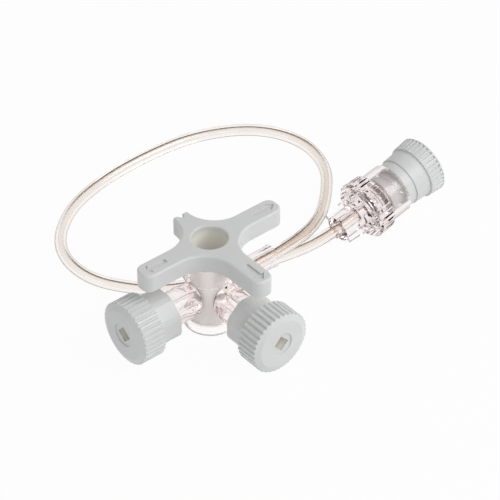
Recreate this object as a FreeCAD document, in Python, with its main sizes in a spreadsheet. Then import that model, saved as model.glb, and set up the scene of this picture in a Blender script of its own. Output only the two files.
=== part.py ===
import FreeCAD, Part
import math
import os

import Sketcher

# Three way stopcock with a bonded extension tube, millimetres, +Z up
# The origin is on the tap's axis at the foot, +X towards the tube socket, -Y towards the side port

Vector = FreeCAD.Vector
doc = FreeCAD.newDocument("three_way_stopcock")

# Driving sizes: name, value, meaning
SIZES = [
    # Clear housing
    ("port_height", 7.4, "height of the three port axes above the foot"),
    ("barrel_radius", 4.75, "outside of the barrel between foot and collar"),
    ("barrel_height", 15.6, "top of the barrel"),
    ("collar_radius", 5.4, "thick collar round the top of the barrel"),
    ("collar_length", 4.2, "length of that collar"),
    ("foot_radius", 5.25, "flange at the bottom of the barrel"),
    ("foot_height", 2.0, "thickness of that flange"),
    ("foot_recess_radius", 4.3, "recess under the barrel for the plug's snap rim"),
    ("foot_recess_depth", 1.8, "depth of that recess"),
    ("foot_round", 0.35, "rounding of the foot and collar edges"),
    ("port_radius", 3.365, "outside of a female luer port"),
    ("port_reach", 18.6, "mouth of a luer port, from the barrel's axis"),
    ("root_reach", 6.6, "where a port's root has become round"),
    ("root_start", 2.6, "where a port's root begins, inside the barrel wall"),
    ("root_width", 4.2, "width of a port's root at the barrel"),
    ("root_tallness", 8.0, "height of a port's root at the barrel"),
    ("lug_radius", 3.915, "over the two thread lugs at a port's mouth"),
    ("lug_width", 4.2, "width of a lug across the port"),
    ("lug_length", 1.1, "length of a lug along the port"),
    ("luer_mouth_radius", 2.15, "female cone at its mouth"),
    ("luer_taper", 0.03, "radius lost for each millimetre of depth"),
    ("luer_depth", 8.6, "depth of the female cone"),
    ("channel_radius", 1.1, "flow channel in ports and plug"),
    ("stub_reach", 7.2, "end of the thick stub that carries the tube socket"),
    ("socket_radius", 2.2, "outside of the tube socket"),
    ("socket_reach", 15.0, "mouth of the tube socket"),
    ("socket_lip_radius", 2.3, "bead at the socket's mouth"),
    ("socket_lip_length", 0.7, "length of that bead"),
    ("socket_stop", 9.5, "ledge that the tube's end meets"),
    ("socket_channel_radius", 0.8, "flow channel behind that ledge"),
    # Tap handle and plug, one moulding
    ("plug_radius", 3.95, "plug at the top of the barrel"),
    ("plug_taper", 0.018, "radius lost for each millimetre down the barrel"),
    ("plug_clearance", 0.03, "running gap between plug and barrel"),
    ("snap_rim_radius", 3.95, "snap rim under the barrel's ledge"),
    ("snap_rim_height", 0.6, "height of the snap rim"),
    ("snap_rim_play", 0.15, "gap between snap rim and ledge"),
    ("handle_gap", 0.3, "between the barrel's top and the handle"),
    ("handle_thickness", 3.8, "thickness of the handle's arms"),
    ("arm_reach", 16.2, "tip of a long arm from the axis"),
    ("arm_width", 4.2, "width of a long arm"),
    ("tip_round", 1.7, "corners of a long arm's tip"),
    ("short_arm_reach", 8.9, "tip of the short arm from the axis"),
    ("short_arm_width", 3.5, "width of the short arm"),
    ("notch_width", 1.3, "V notch in the short arm at its mouth"),
    ("notch_depth", 1.1, "depth of that notch"),
    ("notch_round", 0.25, "bottom of that notch"),
    ("prong_inner_round", 0.45, "corners of the prongs beside the notch"),
    ("prong_outer_round", 0.55, "outer corners of the prongs"),
    ("web_radius", 6.2, "hollow curve from arm to arm"),
    ("handle_top_round", 0.4, "rounding of the handle's top edge"),
    ("handle_under_round", 0.25, "rounding of the handle's lower edge"),
    ("finger_hole_radius", 3.4, "deep round recess in the handle's middle"),
    ("finger_hole_depth", 8.2, "depth of that recess"),
    ("finger_hole_round", 0.35, "rounding of its mouth"),
    ("arrow_tail", 10.3, "inner end of a recessed arrow from the axis"),
    ("arrow_tip", 15.5, "point of that arrow"),
    ("arrow_head_length", 1.5, "length of its head"),
    ("arrow_head_width", 2.3, "width of its head"),
    ("arrow_shaft_width", 1.1, "width of its shaft"),
    ("arrow_depth", 0.35, "depth of the recess"),
    # Port caps, two alike
    ("cap_length", 9.8, "whole length of a port cap"),
    ("cap_floor_gap", 0.35, "between a port's mouth and the cap's floor"),
    ("cap_floor", 1.7, "thickness of the cap's end wall"),
    ("cap_body_radius", 5.15, "smooth end of the cap, over its corners"),
    ("cap_flat_distance", 4.95, "distance of the eight flats from the axis"),
    ("cap_grip_length", 5.1, "length of the ribbed grip"),
    ("cap_grip_radius", 6.3, "outside of the ribs"),
    ("cap_face_radius", 4.95, "flat part of the cap's face"),
    ("cap_bevel_depth", 0.6, "depth of the wide bevel round it"),
    ("cap_edge", 0.45, "bevel round the end cap's face"),
    ("cap_band", 0.5, "how far the grooves stop short of the face"),
    ("lug_clearance", 0.135, "between the lugs and the cap's bore"),
    ("cone_clearance", 0.03, "between the cap's cone and the port's cone"),
    ("cone_engagement", 5.6, "how far a male cone goes into a female one"),
    ("rib_count", 36, "ribs on a cap's grip"),
    ("rib_depth", 0.35, "depth of the grooves between ribs"),
    ("rib_gap", 0.62, "width of a groove at its mouth"),
    ("rib_floor", 0.22, "width of a groove's floor"),
    ("face_recess_radius", 2.4, "shallow round recess in the cap's face"),
    ("face_recess_depth", 0.25, "depth of that recess"),
    ("key_length", 2.5, "long side of the pocket in the cone"),
    ("key_width", 2.4, "short side of that pocket"),
    ("key_depth", 3.5, "depth of that pocket"),
    ("inline_cap_turn", 47.0, "turn of the inline cap on its thread, degrees"),
    ("side_cap_turn", 133.0, "turn of the side cap on its thread, degrees"),
    # Tube and the place of its connector
    ("tube_radius", 1.2, "outside of the extension tube"),
    ("bond_gap", 0.02, "between the tube and its sockets"),
    ("tube_insertion", 4.8, "how deep the tube sits in the connector"),
    ("connector_x", 32.2, "middle of the connector's tube entry"),
    ("connector_y", 0.35, "the same, across"),
    ("connector_height", 4.8, "the same, above the surface"),
    ("connector_yaw", 1.8, "turn of the connector's axis from +X, degrees"),
    ("connector_rise", 10.4, "rise of the connector's axis, degrees"),
    # Connector hub with its male luer cone
    ("sleeve_radius", 2.65, "sleeve round the tube"),
    ("fin_radius", 3.45, "outer edge of the four fins at the tube's entry"),
    ("fin_far_radius", 3.95, "the same at the flange"),
    ("fin_thickness", 0.9, "thickness of a fin"),
    ("fin_length", 5.8, "length of the fins, up to the flange"),
    ("hub_turn", -68.0, "turn of the fins round the axis, degrees"),
    ("flange_radius", 3.75, "flange behind the nut"),
    ("flange_length", 1.1, "thickness of that flange"),
    ("spindle_radius", 3.0, "neck that the nut turns on"),
    ("stop_radius", 3.5, "collar that keeps the nut on the neck"),
    ("stop_length", 0.7, "length of that collar"),
    ("cone_projection", 2.1, "male cone beyond the nut's rim"),
    ("hub_channel_radius", 0.9, "flow channel through the cone"),
    # Rotating lock nut
    ("nut_length", 8.6, "whole length of the nut"),
    ("nut_grip_length", 3.8, "length of its ribbed end"),
    ("nut_grip_radius", 6.05, "outside of its ribs at their rear end"),
    ("nut_grip_far_radius", 5.85, "the same at their front end"),
    ("nut_radius", 5.25, "smooth end of the nut"),
    ("nut_edge", 0.5, "bevel at the nut's ribbed end"),
    ("nut_recess_depth", 1.1, "recess in the nut for the flange"),
    ("nut_recess_gap", 0.85, "round the flange in that recess"),
    ("nut_web", 1.4, "wall that turns on the neck"),
    ("nut_end_play", 0.25, "play of that wall along the neck"),
    ("nut_turning_gap", 0.08, "between that wall and the neck"),
    ("nut_bore_radius", 4.0, "threaded bore, at the thread's root"),
    ("nut_rib_count", 32, "ribs on the nut"),
    ("nut_rib_depth", 0.4, "depth of the grooves between them"),
    ("nut_rib_gap", 0.6, "width of a groove at its mouth"),
    # Cap on the connector
    ("end_rim_gap", 0.2, "between the nut's rim and the cap's shoulder"),
    ("end_shoulder_radius", 4.8, "shoulder beside the nut's rim"),
    ("end_shoulder_length", 2.0, "length of that shoulder"),
    ("end_body_radius", 5.05, "smooth part of the cap, beside the shoulder"),
    ("end_body_far_radius", 5.25, "the same, beside the grip"),
    ("end_body_length", 3.4, "length of that part"),
    ("end_grip_near_radius", 5.65, "outside of its ribs, beside the smooth part"),
    ("end_grip_radius", 5.9, "the same, beside the face"),
    ("end_grip_length", 3.5, "length of its ribbed grip"),
    ("end_bore_depth", 7.2, "depth of its female cone"),
]

sheet = doc.addObject("Spreadsheet::Sheet", "Dimensions")
for row, (alias, value, meaning) in enumerate(SIZES, start=1):
    sheet.set(f"A{row}", meaning)
    sheet.set(f"B{row}", str(value))
    sheet.setAlias(f"B{row}", alias)
doc.recompute()


class Size:
    """A length with the expression that ties it to the sheet."""

    def __init__(self, value, text):
        self.value = value
        self.text = text

    def __add__(self, other):
        other = as_size(other)
        return Size(self.value + other.value, f"({self.text} + {other.text})")

    def __sub__(self, other):
        other = as_size(other)
        return Size(self.value - other.value, f"({self.text} - {other.text})")

    def __mul__(self, other):
        other = as_size(other)
        return Size(self.value * other.value, f"({self.text} * {other.text})")

    def __truediv__(self, other):
        other = as_size(other)
        return Size(self.value / other.value, f"({self.text} / {other.text})")

    def __neg__(self):
        return Size(-self.value, f"(0 - {self.text})")


def as_size(number):
    return number if isinstance(number, Size) else Size(number, repr(number))


class Sheet:
    """The sheet's cells as attributes."""

    def __init__(self):
        for alias, _, _ in SIZES:
            setattr(self, alias, Size(float(sheet.get(alias)), f"Dimensions.{alias}"))


s = Sheet()

# Places that follow from the driving sizes
plug_bottom = s.foot_recess_depth - s.snap_rim_play - s.snap_rim_height
handle_bottom = s.barrel_height + s.handle_gap
handle_top = handle_bottom + s.handle_thickness
collar_bottom = s.barrel_height - s.collar_length
luer_end = s.port_reach - s.luer_depth
cap_floor_at = s.port_reach + s.cap_floor_gap
cap_face_at = cap_floor_at + s.cap_floor
cap_start = cap_face_at - s.cap_length
cap_grip_start = cap_face_at - s.cap_grip_length
flange_end = s.fin_length + s.flange_length
nut_web_start = flange_end + s.nut_end_play
nut_start = nut_web_start - s.nut_recess_depth
nut_web_end = nut_web_start + s.nut_web
nut_end = nut_start + s.nut_length
stop_start = nut_web_end + s.nut_end_play
cone_root = stop_start + s.stop_length
cone_tip = nut_end + s.cone_projection
end_mouth = cone_tip - s.cone_engagement
shoulder_start = nut_end + s.end_rim_gap
end_body_start = shoulder_start + s.end_shoulder_length
end_grip_start = end_body_start + s.end_body_length
end_face_at = end_grip_start + s.end_grip_length


def bore_radius(height):
    """Radius of the barrel's tapered bore at a height."""
    return plug_radius(height) + s.plug_clearance


def plug_radius(height):
    """Radius of the tapered plug at a height."""
    return s.plug_radius - s.plug_taper * (s.barrel_height - height)


def port_cone(place):
    """Radius of a port's female cone at a distance from the barrel's axis."""
    return s.luer_mouth_radius - s.luer_taper * (s.port_reach - place)


def end_cone(place):
    """Radius of the end cap's female cone at a distance along the connector."""
    return s.luer_mouth_radius - s.luer_taper * (place - end_mouth)


# Document helpers
PORT_TURNS = {"inline_port": 180.0, "side_port": -90.0, "tube_port": 0.0}


def new_body(label):
    body = doc.addObject("PartDesign::Body", label)
    body.Label = label
    return body


def origin_part(body, role):
    return next(item for item in body.Origin.OriginFeatures if item.Role == role)


def bind(item, path, size):
    """Set a property from the sheet when it is tied to it."""
    if isinstance(size, Size) and "Dimensions." in size.text:
        item.setExpression(path, size.text)


def flat_sketch(body, name, plane, lift=None, turn=0.0):
    """A sketch on one of the body's own planes, lifted off it and turned in it."""
    sketch = body.newObject("Sketcher::SketchObject", name)
    sketch.AttachmentSupport = [(origin_part(body, plane), "")]
    sketch.MapMode = "FlatFace"
    height = as_size(lift or 0.0)
    sketch.AttachmentOffset = FreeCAD.Placement(
        Vector(0, 0, height.value), FreeCAD.Rotation(Vector(0, 0, 1), turn)
    )
    bind(sketch, "AttachmentOffset.Base.z", height)
    return sketch


def cross_sketch(body, name, turn, reach):
    """A sketch square across a port's axis: its x is level, its y is up."""
    sketch = body.newObject("Sketcher::SketchObject", name)
    sketch.AttachmentSupport = [(origin_part(body, "XY_Plane"), "")]
    sketch.MapMode = "FlatFace"
    across = round(math.cos(math.radians(turn)))
    along = round(math.sin(math.radians(turn)))
    facing = FreeCAD.Rotation(
        Vector(-along, across, 0), Vector(0, 0, 1), Vector(across, along, 0), "ZXY"
    )
    place = Vector(across * reach.value, along * reach.value, s.port_height.value)
    sketch.AttachmentOffset = FreeCAD.Placement(place, facing)
    bind(sketch, "AttachmentOffset.Base.x", reach * across)
    bind(sketch, "AttachmentOffset.Base.y", reach * along)
    bind(sketch, "AttachmentOffset.Base.z", s.port_height)
    return sketch


def pin_point(sketch, geometry, end, axis, size, name):
    """Hold one coordinate of a sketch point: axis 0 is x, axis 1 is y."""
    size = as_size(size)
    if size.text == "0":
        on_line = -2 if axis == 0 else -1
        sketch.addConstraint(Sketcher.Constraint("PointOnObject", geometry, end, on_line))
        return
    kind = ("DistanceX", "DistanceY")[axis]
    index = sketch.addConstraint(
        Sketcher.Constraint(kind, -1, 1, geometry, end, size.value)
    )
    sketch.renameConstraint(index, name)
    bind(sketch, f"Constraints.{name}", size)


def outline(sketch, corners):
    """A closed outline of straight runs whose corners are tied to the sheet."""
    places = [Vector(as_size(x).value, as_size(y).value, 0) for x, y in corners]
    count = len(corners)
    for index, place in enumerate(places):
        sketch.addGeometry(Part.LineSegment(place, places[(index + 1) % count]), False)
    for index in range(count):
        sketch.addConstraint(
            Sketcher.Constraint("Coincident", index, 2, (index + 1) % count, 1)
        )
    for index, (x, y) in enumerate(corners):
        pin_point(sketch, index, 1, 0, x, f"x{index}")
        pin_point(sketch, index, 1, 1, y, f"y{index}")


def circle(sketch, radius):
    """A circle round the sketch's origin."""
    radius = as_size(radius)
    index = sketch.addGeometry(Part.Circle(Vector(), Vector(0, 0, 1), radius.value), False)
    sketch.addConstraint(Sketcher.Constraint("Coincident", index, 3, -1, 1))
    held = sketch.addConstraint(Sketcher.Constraint("Radius", index, radius.value))
    sketch.renameConstraint(held, "radius")
    bind(sketch, "Constraints.radius", radius)


def ellipse(sketch, width, height):
    """An upright ellipse round the sketch's origin."""
    index = sketch.addGeometry(
        Part.Ellipse(Vector(0, height.value / 2, 0), Vector(width.value / 2, 0, 0), Vector()),
        False,
    )
    sketch.exposeInternalGeometry(index)
    long_axis, short_axis = index + 1, index + 2
    sketch.addConstraint(Sketcher.Constraint("Coincident", index, 3, -1, 1))
    sketch.addConstraint(Sketcher.Constraint("Vertical", long_axis))
    for line, size, name in ((long_axis, height, "tall"), (short_axis, width, "wide")):
        held = sketch.addConstraint(Sketcher.Constraint("Distance", line, size.value))
        sketch.renameConstraint(held, name)
        bind(sketch, f"Constraints.{name}", size)


def finish(body, feature):
    """Recompute one feature and make sure that it worked."""
    doc.recompute()
    if "Invalid" in feature.State or "Error" in feature.State or feature.Shape.isNull():
        raise RuntimeError(f"{body.Label}: {feature.Label} failed: {feature.State}")
    body.Tip = feature
    return feature


def finish_cut(body, feature, volume_before):
    """The same for a feature that has to take material away."""
    finish(body, feature)
    if feature.Shape.Volume > volume_before - 1e-4:
        raise RuntimeError(f"{body.Label}: {feature.Label} cuts nothing")
    return feature


def pad(body, name, sketch, length):
    feature = body.newObject("PartDesign::Pad", name)
    feature.Profile = sketch
    feature.Length = as_size(length).value
    bind(feature, "Length", as_size(length))
    return finish(body, feature)


def pocket(body, name, sketch, length):
    """Cut against the sketch's normal."""
    volume = body.Shape.Volume
    feature = body.newObject("PartDesign::Pocket", name)
    feature.Profile = sketch
    feature.Length = as_size(length).value
    bind(feature, "Length", as_size(length))
    return finish_cut(body, feature, volume)


def revolve(body, name, sketch, axis):
    feature = body.newObject("PartDesign::Revolution", name)
    feature.Profile = sketch
    feature.ReferenceAxis = (sketch, [axis])
    feature.Angle = 360
    return finish(body, feature)


def groove(body, name, sketch, axis):
    volume = body.Shape.Volume
    feature = body.newObject("PartDesign::Groove", name)
    feature.Profile = sketch
    feature.ReferenceAxis = (sketch, [axis])
    feature.Angle = 360
    return finish_cut(body, feature, volume)


def around(body, name, feature, count, angle=360.0, backwards=False):
    """Repeat a feature round the body's Z axis."""
    pattern = body.newObject("PartDesign::PolarPattern", name)
    pattern.Originals = [feature]
    pattern.Axis = (origin_part(body, "Z_Axis"), [""])
    pattern.Angle = angle
    pattern.Reversed = backwards
    pattern.Occurrences = int(as_size(count).value)
    bind(pattern, "Occurrences", as_size(count))
    return finish(body, pattern)


def round_edges(body, name, radius, wanted, kind="PartDesign::Fillet"):
    """Round or bevel the edges that a test picks out of the body's tip."""
    base = body.Tip
    names = [
        f"Edge{number}"
        for number, edge in enumerate(base.Shape.Edges, start=1)
        if wanted(edge)
    ]
    if not names:
        raise RuntimeError(f"{body.Label}: {name} found no edge")
    feature = body.newObject(kind, name)
    feature.Base = (base, names)
    path = "Radius" if kind.endswith("Fillet") else "Size"
    setattr(feature, path, radius.value)
    bind(feature, path, radius)
    return finish(body, feature)


NEAR = 1e-3


def circle_at(radius, height):
    """Picks a circle round the Z axis."""

    def test(edge):
        curve = edge.Curve
        return (
            isinstance(curve, Part.Circle)
            and abs(curve.Radius - radius.value) < NEAR
            and math.hypot(curve.Center.x, curve.Center.y) < NEAR
            and abs(curve.Center.z - height.value) < NEAR
        )

    return test


def upright_at(x, y):
    """Picks an upright edge, on either side of the YZ plane."""

    def test(edge):
        box = edge.BoundBox
        return (
            box.ZLength > 10 * NEAR
            and box.XLength < NEAR
            and box.YLength < NEAR
            and abs(abs(box.XMin) - x.value) < NEAR
            and abs(box.YMin - y.value) < NEAR
        )

    return test


def level_at(height):
    """Picks every edge that lies at one height."""

    def test(edge):
        box = edge.BoundBox
        return box.ZLength < NEAR and abs(box.ZMin - height.value) < NEAR

    return test


# Clear housing with its three ports
def make_housing():
    body = new_body("housing")
    barrel = flat_sketch(body, "BarrelOutline", "XZ_Plane")
    outline(
        barrel,
        [
            (0, 0),
            (s.foot_radius, 0),
            (s.foot_radius, s.foot_height),
            (s.barrel_radius, s.foot_height),
            (s.barrel_radius, collar_bottom),
            (s.collar_radius, collar_bottom),
            (s.collar_radius, s.barrel_height),
            (0, s.barrel_height),
        ],
    )
    revolve(body, "Barrel", barrel, "V_Axis")
    corners = [
        circle_at(s.foot_radius, as_size(0)),
        circle_at(s.foot_radius, s.foot_height),
        circle_at(s.collar_radius, collar_bottom),
        circle_at(s.collar_radius, s.barrel_height),
    ]
    round_edges(
        body, "BarrelRounds", s.foot_round, lambda edge: any(test(edge) for test in corners)
    )
    for name, turn in PORT_TURNS.items():
        add_root(body, name, turn)
    for name in ("inline_port", "side_port"):
        add_luer_port(body, name, PORT_TURNS[name])
    add_tube_socket(body)
    bore = flat_sketch(body, "BoreOutline", "XZ_Plane")
    outline(
        bore,
        [
            (0, 0),
            (s.foot_recess_radius, 0),
            (s.foot_recess_radius, s.foot_recess_depth),
            (bore_radius(s.foot_recess_depth), s.foot_recess_depth),
            (bore_radius(s.barrel_height), s.barrel_height),
            (0, s.barrel_height),
        ],
    )
    groove(body, "PlugBore", bore, "V_Axis")
    return body


def add_root(body, name, turn):
    """A port's root: upright oval at the barrel, round where the port begins."""
    oval = cross_sketch(body, f"{name}_root_oval", turn, s.root_start)
    ellipse(oval, s.root_width, s.root_tallness)
    ring = cross_sketch(body, f"{name}_root_ring", turn, s.root_reach)
    circle(ring, s.port_radius)
    loft = body.newObject("PartDesign::AdditiveLoft", f"{name}_root")
    loft.Profile = oval
    loft.Sections = [ring]
    finish(body, loft)


def add_luer_port(body, name, turn):
    """A female luer port: round tube, two lugs, tapered bore and flow channel."""
    tube = flat_sketch(body, f"{name}_tube_outline", "XY_Plane", s.port_height, turn)
    outline(
        tube,
        [
            (s.root_reach, 0),
            (s.port_reach, 0),
            (s.port_reach, s.port_radius),
            (s.root_reach, s.port_radius),
        ],
    )
    revolve(body, f"{name}_tube", tube, "H_Axis")
    for side, sign in (("upper", 1.0), ("lower", -1.0)):
        lug = cross_sketch(body, f"{name}_{side}_lug_outline", turn, s.port_reach)
        lug_outline(lug, sign)
        feature = body.newObject("PartDesign::Pad", f"{name}_{side}_lug")
        feature.Profile = lug
        feature.Length = s.lug_length.value
        bind(feature, "Length", s.lug_length)
        feature.Reversed = True
        finish(body, feature)
    bore = flat_sketch(body, f"{name}_bore_outline", "XY_Plane", s.port_height, turn)
    outline(
        bore,
        [
            (s.root_start, 0),
            (s.port_reach, 0),
            (s.port_reach, s.luer_mouth_radius),
            (luer_end, port_cone(luer_end)),
            (luer_end, s.channel_radius),
            (s.root_start, s.channel_radius),
        ],
    )
    groove(body, f"{name}_bore", bore, "H_Axis")


def lug_outline(sketch, sign):
    """A thread lug: a block under an arc, above or below the port's axis."""
    half = s.lug_width.value / 2
    outer = s.lug_radius.value
    inner = (s.luer_mouth_radius + s.port_radius) * (0.5 * sign)
    reach = sign * math.sqrt(outer**2 - half**2)
    first, last = sorted(math.atan2(reach, x) % (2 * math.pi) for x in (half, -half))
    right = half if sign > 0 else -half
    sketch.addGeometry(
        Part.ArcOfCircle(Part.Circle(Vector(), Vector(0, 0, 1), outer), first, last), False
    )
    path = [
        Vector(-right, reach, 0),
        Vector(-right, inner.value, 0),
        Vector(right, inner.value, 0),
        Vector(right, reach, 0),
    ]
    for start, end in zip(path, path[1:]):
        sketch.addGeometry(Part.LineSegment(start, end), False)
    for one, other in (((0, 2), (1, 1)), ((1, 2), (2, 1)), ((2, 2), (3, 1)), ((3, 2), (0, 1))):
        sketch.addConstraint(Sketcher.Constraint("Coincident", *one, *other))
    sketch.addConstraint(Sketcher.Constraint("Coincident", 0, 3, -1, 1))
    held = sketch.addConstraint(Sketcher.Constraint("Radius", 0, outer))
    sketch.renameConstraint(held, "radius")
    bind(sketch, "Constraints.radius", s.lug_radius)
    left_side = s.lug_width * (-0.5 * sign)
    right_side = s.lug_width * (0.5 * sign)
    pin_point(sketch, 1, 2, 0, left_side, "left_inner")
    pin_point(sketch, 1, 2, 1, inner, "inner_left")
    pin_point(sketch, 3, 1, 0, right_side, "right_inner")
    pin_point(sketch, 3, 1, 1, inner, "inner_right")
    pin_point(sketch, 1, 1, 0, left_side, "left_outer")
    pin_point(sketch, 3, 2, 0, right_side, "right_outer")


def add_tube_socket(body):
    """The inline port opposite the luer port: a stub and the tube's socket."""
    turn = PORT_TURNS["tube_port"]
    socket = flat_sketch(body, "SocketOutline", "XY_Plane", s.port_height, turn)
    lip_start = s.socket_reach - s.socket_lip_length
    outline(
        socket,
        [
            (s.root_reach, 0),
            (s.socket_reach, 0),
            (s.socket_reach, s.socket_lip_radius),
            (lip_start, s.socket_lip_radius),
            (lip_start, s.socket_radius),
            (s.stub_reach, s.socket_radius),
            (s.stub_reach, s.port_radius),
            (s.root_reach, s.port_radius),
        ],
    )
    revolve(body, "Socket", socket, "H_Axis")
    bore = flat_sketch(body, "SocketBoreOutline", "XY_Plane", s.port_height, turn)
    outline(
        bore,
        [
            (s.root_start, 0),
            (s.socket_reach, 0),
            (s.socket_reach, s.tube_radius + s.bond_gap),
            (s.socket_stop, s.tube_radius + s.bond_gap),
            (s.socket_stop, s.socket_channel_radius),
            (s.root_start, s.socket_channel_radius),
        ],
    )
    groove(body, "SocketBore", bore, "H_Axis")


# Tap handle with its hollow plug
def make_handle_plug():
    body = new_body("handle_plug")
    half = s.arm_width / 2
    arm = flat_sketch(body, "ArmOutline", "XY_Plane", handle_bottom)
    outline(arm, [(0, -half), (s.arm_reach, -half), (s.arm_reach, half), (0, half)])
    arm_pad = pad(body, "Arm", arm, s.handle_thickness)
    around(body, "Arms", arm_pad, 3, 180.0, backwards=True)
    add_short_arm(body)
    inner_corners = [
        upright_at(half, -half),
        upright_at(s.short_arm_width / 2, half),
    ]
    round_edges(
        body, "Webs", s.web_radius, lambda edge: any(test(edge) for test in inner_corners)
    )
    tips = [
        upright_at(s.arm_reach, -half),
        upright_at(s.arm_reach, half),
        upright_at(half, -s.arm_reach),
    ]
    round_edges(body, "TipRounds", s.tip_round, lambda edge: any(test(edge) for test in tips))
    round_edges(body, "TopRound", s.handle_top_round, level_at(handle_top))
    round_edges(body, "UnderRound", s.handle_under_round, level_at(handle_bottom))
    add_plug(body)
    add_arrows(body)
    return body


def add_short_arm(body):
    """The short fourth arm with its V notch between two rounded prongs."""
    half = s.short_arm_width / 2
    arm = flat_sketch(body, "ShortArmOutline", "XY_Plane", handle_bottom)
    mouth = s.notch_width / 2
    outline(
        arm,
        [
            (-half, 0),
            (half, 0),
            (half, s.short_arm_reach),
            (mouth, s.short_arm_reach),
            (0, s.short_arm_reach - s.notch_depth),
            (-mouth, s.short_arm_reach),
            (-half, s.short_arm_reach),
        ],
    )
    pad(body, "ShortArm", arm, s.handle_thickness)
    round_edges(
        body,
        "NotchRound",
        s.notch_round,
        upright_at(as_size(0), s.short_arm_reach - s.notch_depth),
    )
    round_edges(
        body, "ProngInnerRounds", s.prong_inner_round, upright_at(mouth, s.short_arm_reach)
    )
    round_edges(
        body, "ProngOuterRounds", s.prong_outer_round, upright_at(half, s.short_arm_reach)
    )


def add_plug(body):
    """The tapered plug under the handle, its recess and its three flow channels."""
    plug = flat_sketch(body, "PlugOutline", "XZ_Plane")
    rim_top = plug_bottom + s.snap_rim_height
    outline(
        plug,
        [
            (0, plug_bottom),
            (s.snap_rim_radius, plug_bottom),
            (s.snap_rim_radius, rim_top),
            (plug_radius(s.foot_recess_depth), s.foot_recess_depth),
            (plug_radius(s.barrel_height), s.barrel_height),
            (plug_radius(s.barrel_height), handle_bottom + s.handle_under_round),
            (0, handle_bottom + s.handle_under_round),
        ],
    )
    revolve(body, "Plug", plug, "V_Axis")
    recess = flat_sketch(body, "RecessOutline", "XY_Plane", handle_top)
    circle(recess, s.finger_hole_radius)
    pocket(body, "Recess", recess, s.finger_hole_depth)
    round_edges(
        body, "RecessRound", s.finger_hole_round, circle_at(s.finger_hole_radius, handle_top)
    )
    for name, turn in PORT_TURNS.items():
        radius = s.socket_channel_radius if name == "tube_port" else s.channel_radius
        channel = flat_sketch(body, f"{name}_channel_outline", "XY_Plane", s.port_height, turn)
        outline(
            channel,
            [(0, 0), (s.plug_radius * 1.2, 0), (s.plug_radius * 1.2, radius), (0, radius)],
        )
        groove(body, f"{name}_channel", channel, "H_Axis")


def add_arrows(body):
    """An arrow sunk into the top of each long arm, pointing outwards."""
    arrow = flat_sketch(body, "ArrowOutline", "XY_Plane", handle_top)
    shaft = s.arrow_shaft_width / 2
    head = s.arrow_head_width / 2
    head_base = s.arrow_tip - s.arrow_head_length
    outline(
        arrow,
        [
            (s.arrow_tail, -shaft),
            (head_base, -shaft),
            (head_base, -head),
            (s.arrow_tip, 0),
            (head_base, head),
            (head_base, shaft),
            (s.arrow_tail, shaft),
        ],
    )
    cut = pocket(body, "Arrow", arrow, s.arrow_depth)
    around(body, "Arrows", cut, 3, 180.0, backwards=True)


# Ribbed caps
def add_ribs(body, name, top, length, radius, count, depth, gap):
    """Grooves round a grip, cut down from a height."""
    notch = flat_sketch(body, f"{name}Outline", "XY_Plane", top)
    beyond = radius + depth * 0.5
    floor = s.rib_floor / 2
    half = gap * 0.75 - floor * 0.5
    outline(
        notch,
        [(radius - depth, -floor), (radius - depth, floor), (beyond, half), (beyond, -half)],
    )
    cut = pocket(body, f"{name}Cut", notch, length)
    around(body, name, cut, count)


def add_face_pocket(body, face):
    """The shallow round recess in a cap's face and the narrow pocket in its middle."""
    recess = flat_sketch(body, "FaceRecessOutline", "XY_Plane", face)
    circle(recess, s.face_recess_radius)
    pocket(body, "FaceRecess", recess, s.face_recess_depth)
    key = flat_sketch(body, "KeyOutline", "XY_Plane", face)
    tall = s.key_length / 2
    wide = s.key_width / 2
    outline(key, [(-tall, -wide), (tall, -wide), (tall, wide), (-tall, wide)])
    pocket(body, "Key", key, s.key_depth)


def make_port_cap(label):
    """A cap: skirt over the lugs, male cone inside, eight flats and a ribbed grip."""
    body = new_body(label)
    cap = flat_sketch(body, "CapOutline", "XZ_Plane")
    cone_end = s.port_reach - s.cone_engagement
    outline(
        cap,
        [
            (0, cone_end),
            (port_cone(cone_end) - s.cone_clearance, cone_end),
            (port_cone(cap_floor_at) - s.cone_clearance, cap_floor_at),
            (s.lug_radius + s.lug_clearance, cap_floor_at),
            (s.lug_radius + s.lug_clearance, cap_start),
            (s.cap_body_radius, cap_start),
            (s.cap_body_radius, cap_grip_start),
            (s.cap_grip_radius, cap_grip_start),
            (s.cap_grip_radius, cap_face_at - s.cap_bevel_depth),
            (s.cap_face_radius, cap_face_at),
            (0, cap_face_at),
        ],
    )
    revolve(body, "Cap", cap, "V_Axis")
    flat = flat_sketch(body, "FlatOutline", "XY_Plane", cap_grip_start)
    outer = s.cap_body_radius * 1.1
    half = s.cap_body_radius * 0.6
    outline(
        flat,
        [
            (s.cap_flat_distance, -half),
            (outer, -half),
            (outer, half),
            (s.cap_flat_distance, half),
        ],
    )
    cut = pocket(body, "Flat", flat, cap_grip_start - cap_start)
    around(body, "Flats", cut, 8)
    ribs_top = cap_face_at - s.cap_band
    add_ribs(
        body,
        "Ribs",
        ribs_top,
        ribs_top - cap_grip_start,
        s.cap_grip_radius,
        s.rib_count,
        s.rib_depth,
        s.rib_gap,
    )
    add_face_pocket(body, cap_face_at)
    return body


def place_on_port(body, direction, turn):
    """Lay a piece modelled along +Z onto a port's axis, turned on that axis."""
    lay_down = FreeCAD.Rotation(Vector(0, 0, 1), direction)
    spin = FreeCAD.Rotation(Vector(0, 0, 1), turn.value)
    body.Placement = FreeCAD.Placement(Vector(0, 0, s.port_height.value), lay_down * spin)
    bind(body, "Placement.Base.z", s.port_height)


# Connector on the tube's far end, modelled along +Z from the tube's entry
def connector_rotation():
    """Turns +Z into the connector's axis, level side kept level."""
    yaw = FreeCAD.Rotation(Vector(0, 0, 1), s.connector_yaw.value)
    return yaw * FreeCAD.Rotation(Vector(0, 1, 0), 90 - s.connector_rise.value)


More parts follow.
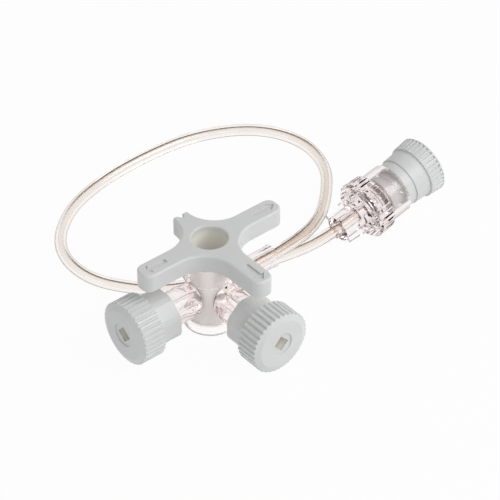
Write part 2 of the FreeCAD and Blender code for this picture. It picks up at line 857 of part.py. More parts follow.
def place_connector(body, turn=0.0):
    spin = FreeCAD.Rotation(Vector(0, 0, 1), turn)
    body.Placement = FreeCAD.Placement(
        Vector(s.connector_x.value, s.connector_y.value, s.connector_height.value),
        connector_rotation() * spin,
    )
    bind(body, "Placement.Base.x", s.connector_x)
    bind(body, "Placement.Base.y", s.connector_y)
    bind(body, "Placement.Base.z", s.connector_height)


def make_connector_hub():
    """Sleeve, flange, neck, stop collar and male cone, bored for tube and flow."""
    body = new_body("connector_hub")
    bore = s.tube_radius + s.bond_gap
    hub = flat_sketch(body, "HubOutline", "XZ_Plane")
    outline(
        hub,
        [
            (bore, 0),
            (s.sleeve_radius, 0),
            (s.sleeve_radius, s.fin_length),
            (s.flange_radius, s.fin_length),
            (s.flange_radius, flange_end),
            (s.spindle_radius, flange_end),
            (s.spindle_radius, stop_start),
            (s.stop_radius, stop_start),
            (s.stop_radius, cone_root),
            (end_cone(cone_root) - s.cone_clearance, cone_root),
            (end_cone(cone_tip) - s.cone_clearance, cone_tip),
            (s.hub_channel_radius, cone_tip),
            (s.hub_channel_radius, s.tube_insertion),
            (bore, s.tube_insertion),
        ],
    )
    revolve(body, "Hub", hub, "V_Axis")
    half = s.fin_thickness / 2
    fin = flat_sketch(body, "FinOutline", "XZ_Plane", -half)
    inside = s.sleeve_radius - half
    outline(
        fin,
        [
            (inside, 0),
            (s.fin_radius, 0),
            (s.fin_far_radius, s.fin_length),
            (inside, s.fin_length),
        ],
    )
    fin_pad = pad(body, "Fin", fin, s.fin_thickness)
    around(body, "Fins", fin_pad, 4)
    place_connector(body, s.hub_turn.value)
    return body


def make_lock_nut():
    """The rotating nut: ribbed end round the flange, web on the neck, open smooth end."""
    body = new_body("lock_nut")
    nut = flat_sketch(body, "NutOutline", "XZ_Plane")
    recess = s.flange_radius + s.nut_recess_gap
    eye = s.spindle_radius + s.nut_turning_gap
    grip_end = nut_start + s.nut_grip_length
    outline(
        nut,
        [
            (recess, nut_start),
            (s.nut_grip_radius - s.nut_edge, nut_start),
            (s.nut_grip_radius, nut_start + s.nut_edge),
            (s.nut_grip_far_radius, grip_end),
            (s.nut_radius, grip_end),
            (s.nut_radius, nut_end),
            (s.nut_bore_radius, nut_end),
            (s.nut_bore_radius, nut_web_end),
            (eye, nut_web_end),
            (eye, nut_web_start),
            (recess, nut_web_start),
        ],
    )
    revolve(body, "Nut", nut, "V_Axis")
    add_ribs(
        body,
        "Ribs",
        grip_end,
        s.nut_grip_length - s.nut_edge,
        s.nut_grip_radius,
        s.nut_rib_count,
        s.nut_rib_depth,
        s.nut_rib_gap,
    )
    place_connector(body)
    return body


def make_end_cap():
    """The cap in the nut: female luer stem with lugs, shoulder, smooth part, ribbed grip."""
    body = new_body("end_cap")
    cap = flat_sketch(body, "EndCapOutline", "XZ_Plane")
    bore_end = end_mouth + s.end_bore_depth
    outline(
        cap,
        [
            (end_cone(end_mouth), end_mouth),
            (s.lug_radius, end_mouth),
            (s.lug_radius, end_mouth + s.lug_length),
            (s.port_radius, end_mouth + s.lug_length),
            (s.port_radius, shoulder_start),
            (s.end_shoulder_radius, shoulder_start),
            (s.end_shoulder_radius, end_body_start),
            (s.end_body_radius, end_body_start),
            (s.end_body_far_radius, end_grip_start),
            (s.end_grip_near_radius, end_grip_start),
            (s.end_grip_radius, end_face_at - s.cap_edge),
            (s.end_grip_radius - s.cap_edge, end_face_at),
            (0, end_face_at),
            (0, bore_end),
            (end_cone(bore_end), bore_end),
        ],
    )
    revolve(body, "EndCap", cap, "V_Axis")
    ribs_top = end_face_at - s.cap_band
    add_ribs(
        body,
        "Ribs",
        ribs_top,
        ribs_top - end_grip_start,
        s.end_grip_radius,
        s.rib_count,
        s.rib_depth,
        s.rib_gap,
    )
    recess = flat_sketch(body, "FaceRecessOutline", "XY_Plane", end_face_at)
    circle(recess, s.face_recess_radius)
    pocket(body, "FaceRecess", recess, s.face_recess_depth)
    place_connector(body)
    return body


# Extension tube: its route from the socket's ledge to the connector
RUN_BEFORE_CONNECTOR = 4.2


def route():
    entry = Vector(s.connector_x.value, s.connector_y.value, s.connector_height.value)
    direction = connector_rotation().multVec(Vector(0, 0, 1))
    points = [
        Vector(s.socket_stop.value, 0, s.port_height.value),
        Vector(19.5, 0, s.port_height.value),
        Vector(30.3, 4.0, 5.2),
        Vector(39.0, 11.3, 3.2),
        Vector(46.1, 19.5, 2.2),
        Vector(48.5, 29.8, 1.7),
        Vector(44.1, 39.6, 1.25),
        Vector(33.2, 45.4, 1.25),
        Vector(21.6, 46.5, 1.25),
        Vector(9.6, 45.7, 1.25),
        Vector(-1.6, 42.4, 1.25),
        Vector(-10.7, 34.2, 1.25),
        Vector(-11.9, 23.3, 1.25),
        Vector(-5.8, 13.9, 1.25),
        Vector(1.5, 8.9, 1.25),
        Vector(9.8, 6.9, 1.25),
        Vector(18.7, 4.4, 1.6),
    ]
    points.append(entry - direction * RUN_BEFORE_CONNECTOR)
    points.append(entry + direction * s.tube_insertion.value)
    return points


def tube_path(points):
    """Straight runs joined by tangent arcs, each as large as its two runs allow."""
    edges = []
    radii = []
    start = points[0]
    for before, corner, after in zip(points, points[1:], points[2:]):
        arriving = (corner - before).normalize()
        leaving = (after - corner).normalize()
        turn = arriving.getAngle(leaving)
        shorter = min((corner - before).Length, (after - corner).Length)
        setback = 0.45 * shorter
        radii.append(setback / math.tan(turn / 2))
        enter = corner - arriving * setback
        leave = corner + leaving * setback
        to_centre = (leaving - arriving).normalize()
        middle = corner + to_centre * (radii[-1] / math.cos(turn / 2) - radii[-1])
        edges.append(Part.LineSegment(start, enter).toShape())
        edges.append(Part.Arc(enter, middle, leave).toShape())
        start = leave
    edges.append(Part.LineSegment(start, points[-1]).toShape())
    return Part.Wire(edges), radii


def make_extension_tube():
    points = route()
    path, radii = tube_path(points)
    first_run = points[1] - points[0]
    section = Part.Wire(
        [Part.makeCircle(s.tube_radius.value, points[0], first_run.normalize())]
    )
    solid = path.makePipeShell([section], True, False)
    expected = math.pi * s.tube_radius.value**2 * path.Length
    print("tube radii", " ".join(f"{radius:.1f}" for radius in radii))
    print(f"tube length {path.Length:.1f} mm, volume {solid.Volume:.2f} of {expected:.2f}")
    if abs(solid.Volume / expected - 1) > 0.005:
        raise RuntimeError("the tube's volume is not its section times its length")
    tube = doc.addObject("Part::Feature", "extension_tube")
    tube.Label = "extension_tube"
    tube.Shape = solid
    return tube


def main():
    nodes = [make_housing(), make_handle_plug()]
    for label, direction, turn in (
        ("inline_cap", Vector(-1, 0, 0), s.inline_cap_turn),
        ("side_cap", Vector(0, -1, 0), s.side_cap_turn),
    ):
        cap = make_port_cap(label)
        place_on_port(cap, direction, turn)
        nodes.append(cap)
    nodes += [make_connector_hub(), make_lock_nut(), make_end_cap(), make_extension_tube()]
    doc.recompute()
    for item in doc.Objects:
        if "Invalid" in item.State or "Error" in item.State:
            raise RuntimeError(f"{item.Label} is in state {item.State}")
    for node in nodes:
        if node.Shape.isNull() or not node.Shape.isValid():
            raise RuntimeError(f"{node.Label} has no valid shape")
    os.makedirs("parts", exist_ok=True)
    for node in nodes:
        node.Shape.exportStep(f"parts/{node.Label}.step")
        print(f"{node.Label}: {len(node.Shape.Solids)} solid, {node.Shape.Volume:.1f} mm3")


main()
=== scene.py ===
import math

import bpy
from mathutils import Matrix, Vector


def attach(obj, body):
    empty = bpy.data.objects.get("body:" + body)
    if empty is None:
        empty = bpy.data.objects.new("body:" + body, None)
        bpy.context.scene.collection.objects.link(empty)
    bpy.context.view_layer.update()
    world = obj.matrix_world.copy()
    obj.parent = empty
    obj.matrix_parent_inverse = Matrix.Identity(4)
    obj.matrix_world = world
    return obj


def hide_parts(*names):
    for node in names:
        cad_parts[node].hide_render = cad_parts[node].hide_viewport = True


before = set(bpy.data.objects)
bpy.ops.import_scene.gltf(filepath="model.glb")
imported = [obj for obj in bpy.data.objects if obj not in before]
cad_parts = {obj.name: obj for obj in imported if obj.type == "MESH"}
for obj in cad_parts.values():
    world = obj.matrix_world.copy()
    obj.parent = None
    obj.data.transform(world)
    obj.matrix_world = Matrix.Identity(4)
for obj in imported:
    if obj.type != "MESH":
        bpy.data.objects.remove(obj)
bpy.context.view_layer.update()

MM = 0.001

# Sizes shared with the solid model, in millimetres
PORT_HEIGHT = 7.4
TUBE_RADIUS = 1.2
LUMEN_RADIUS = 0.5
CONNECTOR_ENTRY = Vector((32.2, 0.35, 4.8))
CONNECTOR_YAW = math.radians(1.8)
CONNECTOR_RISE = math.radians(10.4)
CONNECTOR_AXIS = Vector(
    (
        math.cos(CONNECTOR_YAW) * math.cos(CONNECTOR_RISE),
        math.sin(CONNECTOR_YAW) * math.cos(CONNECTOR_RISE),
        math.sin(CONNECTOR_RISE),
    )
)

# Where painted light goes on the white plastic, in millimetres: the plug up to its top, painted
# brighter, and the handle's recess and the caps' pockets, painted with warm scattered light, each
# within its radius and over its fade's depth from its mouth
PLUG_TOP = 15.7
RECESS_MOUTH = 19.6
RECESS_RADIUS = 3.45
RECESS_FADE = 2.0
POCKET_MOUTH = 20.2
END_POCKET_MOUTH = 23.4
POCKET_RADIUS = 2.2
POCKET_FADE = 0.4

# The photo's camera: where it stands, its own three directions and how far its aim is turned
CAMERA_PLACE = (-0.2361, -0.2932, 0.3244)
CAMERA_AHEAD = Vector((0.475, 0.590, -0.653))
CAMERA_RIGHT = Vector((0.779, -0.627, 0.0))
CAMERA_UP = Vector((0.409, 0.509, 0.758))
AIM_RIGHT = 0.01536
AIM_UP = 0.02601
CAMERA_LENS = 189.55

# Colours of the white plastic, of the painted warm light in its hollows and of the plug's painted
# brighter tone
WHITE_DEEP = (0.72, 0.73, 0.725)
WHITE_LIGHT = (0.75, 0.76, 0.755)
HOLLOW_PAINTED_LIGHT = (0.97, 0.95, 0.87)
PLUG_PAINTED_LIGHT = (0.97, 0.94, 0.91)

# Noise scales, in waves per metre
TONE_SCALE = 140.0
GRAIN_SCALE = 9000.0
FLOW_SCALE = 260.0
WAVE_SCALE = 420.0


# Node helpers
def new_material(name):
    material = bpy.data.materials.new(name)
    material.use_nodes = True
    material.node_tree.nodes.clear()
    return material, material.node_tree.nodes, material.node_tree.links


def shader_of(nodes, links, **sockets):
    """A Principled shader wired to the output, with constants set on its sockets."""
    shader = nodes.new("ShaderNodeBsdfPrincipled")
    output = nodes.new("ShaderNodeOutputMaterial")
    links.new(shader.outputs["BSDF"], output.inputs["Surface"])
    for name, value in sockets.items():
        shader.inputs[name.replace("_", " ")].default_value = value
    return shader


def object_coordinates(nodes):
    return nodes.new("ShaderNodeTexCoord").outputs["Object"]


def noise(nodes, links, scale, detail=3.0, roughness=0.5):
    texture = nodes.new("ShaderNodeTexNoise")
    texture.inputs["Scale"].default_value = scale
    texture.inputs["Detail"].default_value = detail
    texture.inputs["Roughness"].default_value = roughness
    links.new(object_coordinates(nodes), texture.inputs["Vector"])
    return texture.outputs["Fac"]


def ramp(nodes, links, fac, stops):
    """A colour ramp with its stops: place and colour."""
    node = nodes.new("ShaderNodeValToRGB")
    elements = node.color_ramp.elements
    while len(elements) < len(stops):
        elements.new(0.5)
    for element, (place, colour) in zip(elements, stops):
        element.position = place
        element.color = (*colour, 1.0)
    links.new(fac, node.inputs["Fac"])
    return node.outputs["Color"]


def bump(nodes, links, height, shader, strength, distance):
    node = nodes.new("ShaderNodeBump")
    node.inputs["Strength"].default_value = strength
    node.inputs["Distance"].default_value = distance
    links.new(height, node.inputs["Height"])
    links.new(node.outputs["Normal"], shader.inputs["Normal"])


def vector_math(nodes, links, operation, first, second=None):
    node = nodes.new("ShaderNodeVectorMath")
    node.operation = operation
    links.new(first, node.inputs[0])
    if isinstance(second, (tuple, Vector)):
        node.inputs[1].default_value = second
    elif second is not None:
        links.new(second, node.inputs[1])
    return node.outputs["Value" if operation in ("DOT_PRODUCT", "LENGTH") else "Vector"]


def number_math(nodes, links, operation, first, second=None):
    node = nodes.new("ShaderNodeMath")
    node.operation = operation
    for socket, value in zip(node.inputs, (first, second)):
        if isinstance(value, (int, float)):
            socket.default_value = value
        elif value is not None:
            links.new(value, socket)
    return node.outputs[0]


def fade(nodes, links, value, start, end):
    """0 below start, 1 above end, smooth between."""
    node = nodes.new("ShaderNodeMapRange")
    node.interpolation_type = "SMOOTHSTEP"
    node.inputs["From Min"].default_value = start
    node.inputs["From Max"].default_value = end
    links.new(value, node.inputs["Value"])
    return node.outputs["Result"]


def hollow_mask(nodes, links, centre, axis, radius, depth):
    """1 inside a round hollow that goes along axis from its mouth's centre."""
    here = vector_math(nodes, links, "SUBTRACT", object_coordinates(nodes), centre)
    along = vector_math(nodes, links, "DOT_PRODUCT", here, axis)
    sideways = vector_math(nodes, links, "CROSS_PRODUCT", here, axis)
    across = vector_math(nodes, links, "LENGTH", sideways)
    inside = fade(nodes, links, across, radius * 1.03, radius)
    deep = fade(nodes, links, along, 0.0, depth)
    return number_math(nodes, links, "MULTIPLY", inside, deep)


def mixed(nodes, links, factor, first, second):
    """One colour laid over another by a mask; the second may be a constant."""
    mix = nodes.new("ShaderNodeMix")
    mix.data_type = "RGBA"
    links.new(factor, mix.inputs["Factor"])
    links.new(first, mix.inputs["A"])
    if isinstance(second, tuple):
        mix.inputs["B"].default_value = (*second, 1.0)
    else:
        links.new(second, mix.inputs["B"])
    return mix.outputs["Result"]


def shader_mix(nodes, links, factor, first, second):
    """One shader, with another in its place where the factor is 1."""
    mix = nodes.new("ShaderNodeMixShader")
    links.new(factor, mix.inputs["Fac"])
    links.new(first, mix.inputs[1])
    links.new(second, mix.inputs[2])
    return mix.outputs["Shader"]


def grazing(nodes):
    """0 where a surface faces the eye, 1 where it turns away: the painted dark edge tint and the
    painted outlines use it.
    """
    return nodes.new("ShaderNodeLayerWeight").outputs["Facing"]


# Materials
def white_plastic(name, hollows=(), painted_light_below=None):
    """Moulded white plastic, satin with a fine grain, with painted warm light deep in its hollows
    and a painted brighter plug.

    A hollow is its mouth's centre, the way it goes, its radius and the depth of its fade."""
    material, nodes, links = new_material(name)
    shader = shader_of(
        nodes,
        links,
        Roughness=0.40,
        IOR=1.49,
        Subsurface_Weight=0.15,
        Subsurface_Radius=(1.0, 0.9, 0.75),
        Subsurface_Scale=0.0008,
    )
    tone = noise(nodes, links, TONE_SCALE, 4.0)
    colour = ramp(nodes, links, tone, ((0.3, WHITE_DEEP), (0.7, WHITE_LIGHT)))
    # Painted light: the hollows get a warm, light colour that stands in for light the plastic
    # scatters there
    for hollow in hollows:
        mask = hollow_mask(nodes, links, *hollow)
        colour = mixed(nodes, links, mask, colour, HOLLOW_PAINTED_LIGHT)
    # Painted light: below the plug's top the plastic is painted brighter, standing in for light
    # that the clear housing holds back
    if painted_light_below is not None:
        height = nodes.new("ShaderNodeSeparateXYZ")
        links.new(object_coordinates(nodes), height.inputs["Vector"])
        low = fade(nodes, links, height.outputs["Z"], painted_light_below + 0.1 * MM, painted_light_below)
        colour = mixed(nodes, links, low, colour, PLUG_PAINTED_LIGHT)
    links.new(colour, shader.inputs["Base Color"])
    grain = noise(nodes, links, GRAIN_SCALE, 2.0)
    bump(nodes, links, grain, shader, 0.12, 0.00002)
    return material


def clear_plastic(
    name,
    light,
    deep,
    edge,
    absorbed,
    density,
    roughness,
    ior,
    passed=(0.98, 0.97, 0.97),
    calm=False,
    bends=None,
    mirrored=False,
    line=None,
):
    """Clear moulded plastic: flow marks in its tint, a painted dark tint at its edges that stands
    in for the dark room they bend and mirror, and a deeper tint with thickness.

    passed is the share of a lamp's light that goes through one wall. calm sends the light of
    matt surfaces straight through too. bends is how often light bends before it goes straight
    on, so that the many walls behind each other don't turn black, and mirrored says whether
    light that a wall mirrors goes straight on then too. line is a painted dark outline, a painted
    reflection of the dark room where the wall would mirror it: its tone, the side of the wall
    that has it, how steeply it is seen there, and whether it shows from inside the plastic."""
    material, nodes, links = new_material(name)
    shader = shader_of(nodes, links, Roughness=roughness, IOR=ior, Transmission_Weight=1.0)
    output = next(node for node in nodes if node.type == "OUTPUT_MATERIAL")
    flow = noise(nodes, links, FLOW_SCALE, 3.0)
    tint = ramp(nodes, links, flow, ((0.3, deep), (0.7, light)))
    # Painted reflection: the edges are tinted dark, standing in for the dark room that they bend
    # and mirror
    rim = fade(nodes, links, grazing(nodes), 0.40, 0.90)
    links.new(mixed(nodes, links, rim, tint, edge), shader.inputs["Base Color"])
    waves = noise(nodes, links, WAVE_SCALE, 2.0)
    bump(nodes, links, waves, shader, 0.05, 0.00001)
    surface = shader.outputs["BSDF"]
    # Painted reflection: a dark matt shader is laid where the wall is seen steeply on one side,
    # standing in for the dark room it mirrors
    if line is not None:
        tone, side, steep, inside = line
        dark = nodes.new("ShaderNodeBsdfDiffuse")
        dark.inputs["Color"].default_value = (*tone, 1.0)
        wall = nodes.new("ShaderNodeNewGeometry")
        towards = vector_math(nodes, links, "DOT_PRODUCT", wall.outputs["Normal"], side)
        seen = number_math(
            nodes,
            links,
            "MULTIPLY",
            fade(nodes, links, towards, 0.50, 0.90),
            fade(nodes, links, grazing(nodes), *steep),
        )
        if inside:
            seen = number_math(nodes, links, "MULTIPLY", seen, wall.outputs["Backfacing"])
        surface = shader_mix(nodes, links, seen, surface, dark.outputs["BSDF"])
    transparent = nodes.new("ShaderNodeBsdfTransparent")
    transparent.inputs["Color"].default_value = (*passed, 1.0)
    through = transparent.outputs["BSDF"]
    path = nodes.new("ShaderNodeLightPath")
    if bends is not None:
        depth = path.outputs["Ray Depth"]
        spent = number_math(nodes, links, "GREATER_THAN", depth, bends - 0.5)
        late = shader_mix(nodes, links, spent, surface, through)
        surface = shader_mix(nodes, links, path.outputs["Is Transmission Ray"], surface, late)
        if mirrored:
            surface = shader_mix(nodes, links, path.outputs["Is Glossy Ray"], surface, late)
    if calm:
        surface = shader_mix(nodes, links, path.outputs["Is Diffuse Ray"], surface, through)
    # Lamps reach what is behind the plastic
    surface = shader_mix(nodes, links, path.outputs["Is Shadow Ray"], surface, through)
    links.new(surface, output.inputs["Surface"])
    absorption = nodes.new("ShaderNodeVolumeAbsorption")
    absorption.inputs["Color"].default_value = (*absorbed, 1.0)
    absorption.inputs["Density"].default_value = density
    links.new(absorption.outputs["Volume"], output.inputs["Volume"])
    return material


def floor_material():
    """Matt and pale for the light on the part, and nearly white where the eye sees it."""
    material, nodes, links = new_material("floor")
    diffuse = nodes.new("ShaderNodeBsdfDiffuse")
    diffuse.inputs["Color"].default_value = (0.9, 0.9, 0.9, 1.0)
    glow = nodes.new("ShaderNodeEmission")
    glow.inputs["Color"].default_value = (1.0, 1.0, 1.0, 1.0)
    glow.inputs["Strength"].default_value = 1.0
    kinds = nodes.new("ShaderNodeLightPath").outputs
    by_part = number_math(
        nodes, links, "MAXIMUM", kinds["Is Glossy Ray"], kinds["Is Transmission Ray"]
    )
    seen = number_math(nodes, links, "MAXIMUM", kinds["Is Camera Ray"], by_part)
    share = number_math(nodes, links, "MULTIPLY", seen, 0.95)
    surface = shader_mix(nodes, links, share, diffuse.outputs["BSDF"], glow.outputs["Emission"])
    output = nodes.new("ShaderNodeOutputMaterial")
    links.new(surface, output.inputs["Surface"])
    return material


# edge is the colour of the painted dark edge tint, a painted reflection of the dark room
CLEAR_LOOK = {
    "light": (1.0, 0.998, 0.998),
    "deep": (0.995, 0.99, 0.99),
    "edge": (0.40, 0.28, 0.29),
    "absorbed": (0.80, 0.64, 0.62),
    "density": 50.0,
    "roughness": 0.03,
}
HOUSING_CLEAR = clear_plastic("clear_plastic", **CLEAR_LOOK, ior=1.30, bends=5, mirrored=True)
CONNECTOR_CLEAR = clear_plastic(
    "connector_clear_plastic",
    **CLEAR_LOOK,
    ior=1.27,
    passed=(0.96, 0.94, 0.94),
    calm=True,
    bends=6,
)
# The tube's edge is a painted dark edge tint too
TUBE_LOOK = {
    "light": (1.0, 0.995, 0.99),
    "deep": (0.99, 0.985, 0.975),
    "edge": (0.42, 0.32, 0.25),
    "absorbed": (0.80, 0.64, 0.50),
    "density": 80.0,
    "roughness": 0.02,
    "ior": 1.45,
}
# The tube's wall and bore get painted dark outlines, painted reflections, on the sides facing
# along the camera's down and up directions
TUBE = clear_plastic(
    "clear_tube", **TUBE_LOOK, line=((0.42, 0.34, 0.28), -CAMERA_UP, (0.60, 0.82), False)
)
TUBE_BORE = clear_plastic(
    "clear_tube_bore", **TUBE_LOOK, line=((0.20, 0.15, 0.11), CAMERA_UP, (0.25, 0.42), True)
)


def dress(node, material):
    """Give a carried-over node its material."""
    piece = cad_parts[node]
    for slot in piece.material_slots:
        slot.material = material


def pocket(mouth, outward):
    """The pocket in the face of a cap that points outward, as a hollow."""
    return (mouth, -outward, POCKET_RADIUS * MM, POCKET_FADE * MM)


down = Vector((0.0, 0.0, -1.0))
recess_mouth = Vector((0.0, 0.0, RECESS_MOUTH)) * MM
recess = (recess_mouth, down, RECESS_RADIUS * MM, RECESS_FADE * MM)
dress("handle_plug", white_plastic("handle_white", [recess], PLUG_TOP * MM))
for name, direction in (("inline_cap", (-1.0, 0.0, 0.0)), ("side_cap", (0.0, -1.0, 0.0))):
    outward = Vector(direction)
    mouth = outward * POCKET_MOUTH * MM + Vector((0.0, 0.0, PORT_HEIGHT)) * MM
    dress(name, white_plastic(name + "_white", [pocket(mouth, outward)]))
end_mouth = CONNECTOR_ENTRY * MM + CONNECTOR_AXIS * END_POCKET_MOUTH * MM
dress("end_cap", white_plastic("end_cap_white", [pocket(end_mouth, CONNECTOR_AXIS)]))
dress("housing", HOUSING_CLEAR)
dress("connector_hub", CONNECTOR_CLEAR)
dress("lock_nut", CONNECTOR_CLEAR)


# Extension tube: the route's points, millimetres
ROUTE = [
    (9.5, 0.0, PORT_HEIGHT),
    (19.5, 0.0, PORT_HEIGHT),
    (30.3, 4.0, 5.2),
    (39.0, 11.3, 3.2),
    (46.1, 19.5, 2.2),
    (48.5, 29.8, 1.7),
    (44.1, 39.6, 1.25),
    (33.2, 45.4, 1.25),
    (21.6, 46.5, 1.25),
    (9.6, 45.7, 1.25),
    (-1.6, 42.4, 1.25),
    (-10.7, 34.2, 1.25),
    (-11.9, 23.3, 1.25),
    (-5.8, 13.9, 1.25),
    (1.5, 8.9, 1.25),
    (9.8, 6.9, 1.25),
    (18.7, 4.4, 1.6),
    tuple(CONNECTOR_ENTRY - CONNECTOR_AXIS * 4.2),
    tuple(CONNECTOR_ENTRY + CONNECTOR_AXIS * 4.8),
]


def route_line():
    """The smooth line that the tube follows: a NURBS spline on the route's points."""
    curve = bpy.data.curves.new("route", "CURVE")
    curve.dimensions = "3D"
    spline = curve.splines.new("NURBS")
    spline.points.add(len(ROUTE) - 1)
    for point, (x, y, z) in zip(spline.points, ROUTE):
        point.co = (x * MM, y * MM, z * MM, 1.0)
    spline.order_u = 3
    spline.use_endpoint_u = True
    spline.resolution_u = 14
    guide = bpy.data.objects.new("route", curve)
    bpy.context.collection.objects.link(guide)
    bpy.context.view_layer.update()
    graph = bpy.context.evaluated_depsgraph_get()
    mesh = bpy.data.meshes.new_from_object(guide.evaluated_get(graph))
    bpy.data.objects.remove(guide)
    line = [vertex.co.copy() for vertex in mesh.vertices]
    bpy.data.meshes.remove(mesh)
    return line


def hollow_tube(name, line, outer, inner, sides, wall, bore):
    """A tube with an outer wall, a bore and a ring at each end, as one closed mesh."""
    across = Vector((0.0, 1.0, 0.0))
    rows = []
    for index, point in enumerate(line):
        ahead = (line[min(index + 1, len(line) - 1)] - line[max(index - 1, 0)]).normalized()
        across = (across - ahead * across.dot(ahead)).normalized()
        beside = ahead.cross(across)
        for radius in (outer, inner):
            row = []
            for side in range(sides):
                angle = 2 * math.pi * side / sides
                row.append(point + (across * math.cos(angle) + beside * math.sin(angle)) * radius)
            rows.append(row)
    vertices = [corner for row in rows for corner in row]
    faces = []

    def strip(first, second, inward):
        """The faces between two rows, turned over where they look inward."""
        near = first * sides
        far = second * sides
        for side in range(sides):
            after = (side + 1) % sides
            face = [near + side, near + after, far + after, far + side]
            faces.append(face[::-1] if inward else face)

    last = 2 * (len(line) - 1)
    for row in range(0, last, 2):
        strip(row, row + 2, False)
        strip(row + 1, row + 3, True)
    strip(0, 1, True)
    strip(last, last + 1, False)
    mesh = bpy.data.meshes.new(name)
    mesh.from_pydata(vertices, [], faces)
    mesh.materials.append(wall)
    mesh.materials.append(bore)
    for face in mesh.polygons:
        along_wall = face.index < len(faces) - 2 * sides
        face.use_smooth = along_wall
        face.material_index = 1 if along_wall and face.index // sides % 2 else 0
    mesh.update()
    piece = bpy.data.objects.new(name, mesh)
    bpy.context.collection.objects.link(piece)
    return piece


TUBE_SIDES = 32

tube_line = route_line()
tube = hollow_tube(
    "tube_wall", tube_line, TUBE_RADIUS * MM, LUMEN_RADIUS * MM, TUBE_SIDES, TUBE, TUBE_BORE
)
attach(tube, "stopcock")
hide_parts("extension_tube")


# Thread inside the lock nut, in millimetres: two starts, behind the cap's lugs and before them
THREAD_PITCH = 5.0
THREAD_ROOT = 4.03
THREAD_CREST = 3.62
THREAD_HALF_FOOT = 0.38
THREAD_HALF_FLAT = 0.12
THREAD_STRETCHES = ((9.15, 10.5, 0.4), (12.9, 14.1, 1.3))
THREAD_STEPS = 64
RUN_OUT_STEEPNESS = 8
LEAST_HEIGHT = 0.05


def thread_run(vertices, faces, start, end, turn):
    """One stretch of a thread's ridge, along the connector's axis, run out at both ends."""
    level = Vector((-math.sin(CONNECTOR_YAW), math.cos(CONNECTOR_YAW), 0.0))
    up = CONNECTOR_AXIS.cross(level)
    first = len(vertices)
    for step in range(THREAD_STEPS + 1):
        share = step / THREAD_STEPS
        along = start + (end - start) * share
        angle = turn + 2 * math.pi * (along - start) / THREAD_PITCH
        outward = level * math.cos(angle) + up * math.sin(angle)
        from_end = min(share, 1 - share)
        height = min(1.0, RUN_OUT_STEEPNESS * from_end + LEAST_HEIGHT)
        crest = THREAD_ROOT + (THREAD_CREST - THREAD_ROOT) * height
        for radius, offset in (
            (THREAD_ROOT, -THREAD_HALF_FOOT),
            (crest, -THREAD_HALF_FLAT),
            (crest, THREAD_HALF_FLAT),
            (THREAD_ROOT, THREAD_HALF_FOOT),
        ):
            place = CONNECTOR_ENTRY + CONNECTOR_AXIS * (along + offset) + outward * radius
            vertices.append(place * MM)
    for step in range(THREAD_STEPS):
        row = first + 4 * step
        for side in range(4):
            after = (side + 1) % 4
            faces.append((row + side, row + after, row + 4 + after, row + 4 + side))
    faces.append((first + 3, first + 2, first + 1, first))
    last = first + 4 * THREAD_STEPS
    faces.append((last, last + 1, last + 2, last + 3))


def nut_thread():
    """The piece that holds all the thread's ridges, which turns with the nut."""
    vertices, faces = [], []
    for start, end, turn in THREAD_STRETCHES:
        for half_turn in (0.0, math.pi):
            thread_run(vertices, faces, start, end, turn + half_turn)
    mesh = bpy.data.meshes.new("nut_thread")
    mesh.from_pydata(vertices, [], faces)
    mesh.materials.append(CONNECTOR_CLEAR)
    mesh.update()
    piece = bpy.data.objects.new("nut_thread", mesh)
    bpy.context.collection.objects.link(piece)
    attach(piece, "lock_nut")


nut_thread()


# Floor, lamps, world and camera
FLOOR_SIZE = 6.0
FLOOR_HEIGHT = -0.02 * MM
bpy.ops.mesh.primitive_plane_add(size=FLOOR_SIZE, location=(0.0, 0.0, FLOOR_HEIGHT))
floor = bpy.context.object
floor.name = "floor"
floor.data.materials.append(floor_material())

LAMP_TARGET = Vector((0.01, 0.0, 0.008))


def lamp(name, place, size, power):
    """A square white lamp that looks at the part."""
    data = bpy.data.lights.new(name, "AREA")
    data.shape = "SQUARE"
    data.size = size
    data.energy = power
    item = bpy.data.objects.new(name, data)
    item.location = place
    item.rotation_mode = "QUATERNION"
    item.rotation_quaternion = (LAMP_TARGET - Vector(place)).to_track_quat("-Z", "Y")
    bpy.context.collection.objects.link(item)


lamp("key", (0.26, -0.30, 0.40), 0.34, 1.40)
lamp("front", (-0.06, -0.48, 0.28), 0.30, 0.30)
lamp("left", (-0.52, 0.06, 0.08), 0.26, 0.25)

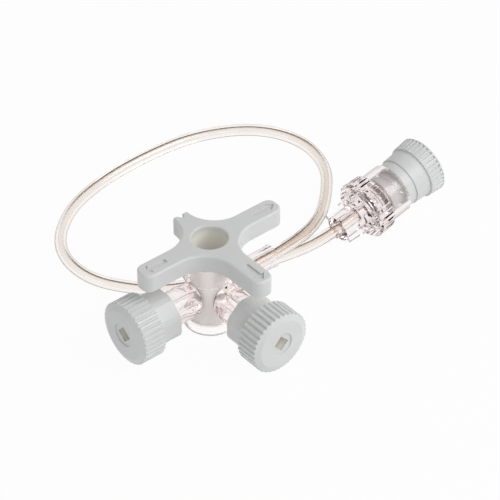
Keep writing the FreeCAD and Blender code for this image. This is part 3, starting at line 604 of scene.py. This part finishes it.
# The studio's tones by height, from the horizon up
PURE_WHITE = (1.0, 1.0, 1.0)
CEILING = (0.60, 0.58, 0.58)
DARK_BAND = (0.50, 0.46, 0.45)
SKY_STOPS = ((0.0, (0.50, 0.50, 0.50)), (0.25, (0.44, 0.44, 0.44)), (0.7, (0.37, 0.37, 0.37)))
FRONT_STOPS = ((0.0, PURE_WHITE), (0.40, PURE_WHITE), (0.85, CEILING))
BACK_STOPS = ((0.0, PURE_WHITE), (0.22, PURE_WHITE), (0.45, DARK_BAND), (0.95, CEILING))
BACK_SIDE = Vector((0.627, 0.779, 0.0))


def studio_world():
    """Soft sky for matt surfaces, studio walls for gloss and glass, and white for the eye."""
    world = bpy.data.worlds.new("studio")
    world.use_nodes = True
    nodes, links = world.node_tree.nodes, world.node_tree.links
    nodes.clear()
    direction = nodes.new("ShaderNodeTexCoord").outputs["Generated"]
    split = nodes.new("ShaderNodeSeparateXYZ")
    links.new(direction, split.inputs["Vector"])
    height = split.outputs["Z"]
    sky = ramp(nodes, links, height, SKY_STOPS)
    front = ramp(nodes, links, height, FRONT_STOPS)
    back = ramp(nodes, links, height, BACK_STOPS)
    behind = vector_math(nodes, links, "DOT_PRODUCT", direction, BACK_SIDE)
    kinds = nodes.new("ShaderNodeLightPath").outputs
    walls = mixed(nodes, links, fade(nodes, links, behind, -0.2, 0.25), front, back)
    lit = mixed(nodes, links, kinds["Is Diffuse Ray"], walls, sky)
    shown = mixed(nodes, links, kinds["Is Camera Ray"], lit, PURE_WHITE)
    background = nodes.new("ShaderNodeBackground")
    links.new(shown, background.inputs["Color"])
    output = nodes.new("ShaderNodeOutputWorld")
    links.new(background.outputs["Background"], output.inputs["Surface"])
    return world


def photo_camera():
    """The camera that was fitted to the photograph."""
    data = bpy.data.cameras.new("camera")
    data.sensor_width = 36.0
    data.lens = CAMERA_LENS
    data.clip_start = 0.01
    data.clip_end = 20.0
    camera = bpy.data.objects.new("camera", data)
    camera.location = CAMERA_PLACE
    aim = CAMERA_AHEAD + AIM_RIGHT * CAMERA_RIGHT + AIM_UP * CAMERA_UP
    camera.rotation_mode = "QUATERNION"
    camera.rotation_quaternion = aim.to_track_quat("-Z", "Y")
    bpy.context.collection.objects.link(camera)
    return camera


bpy.context.scene.world = studio_world()
bpy.context.scene.camera = photo_camera()
bpy.context.scene.view_settings.view_transform = "Standard"
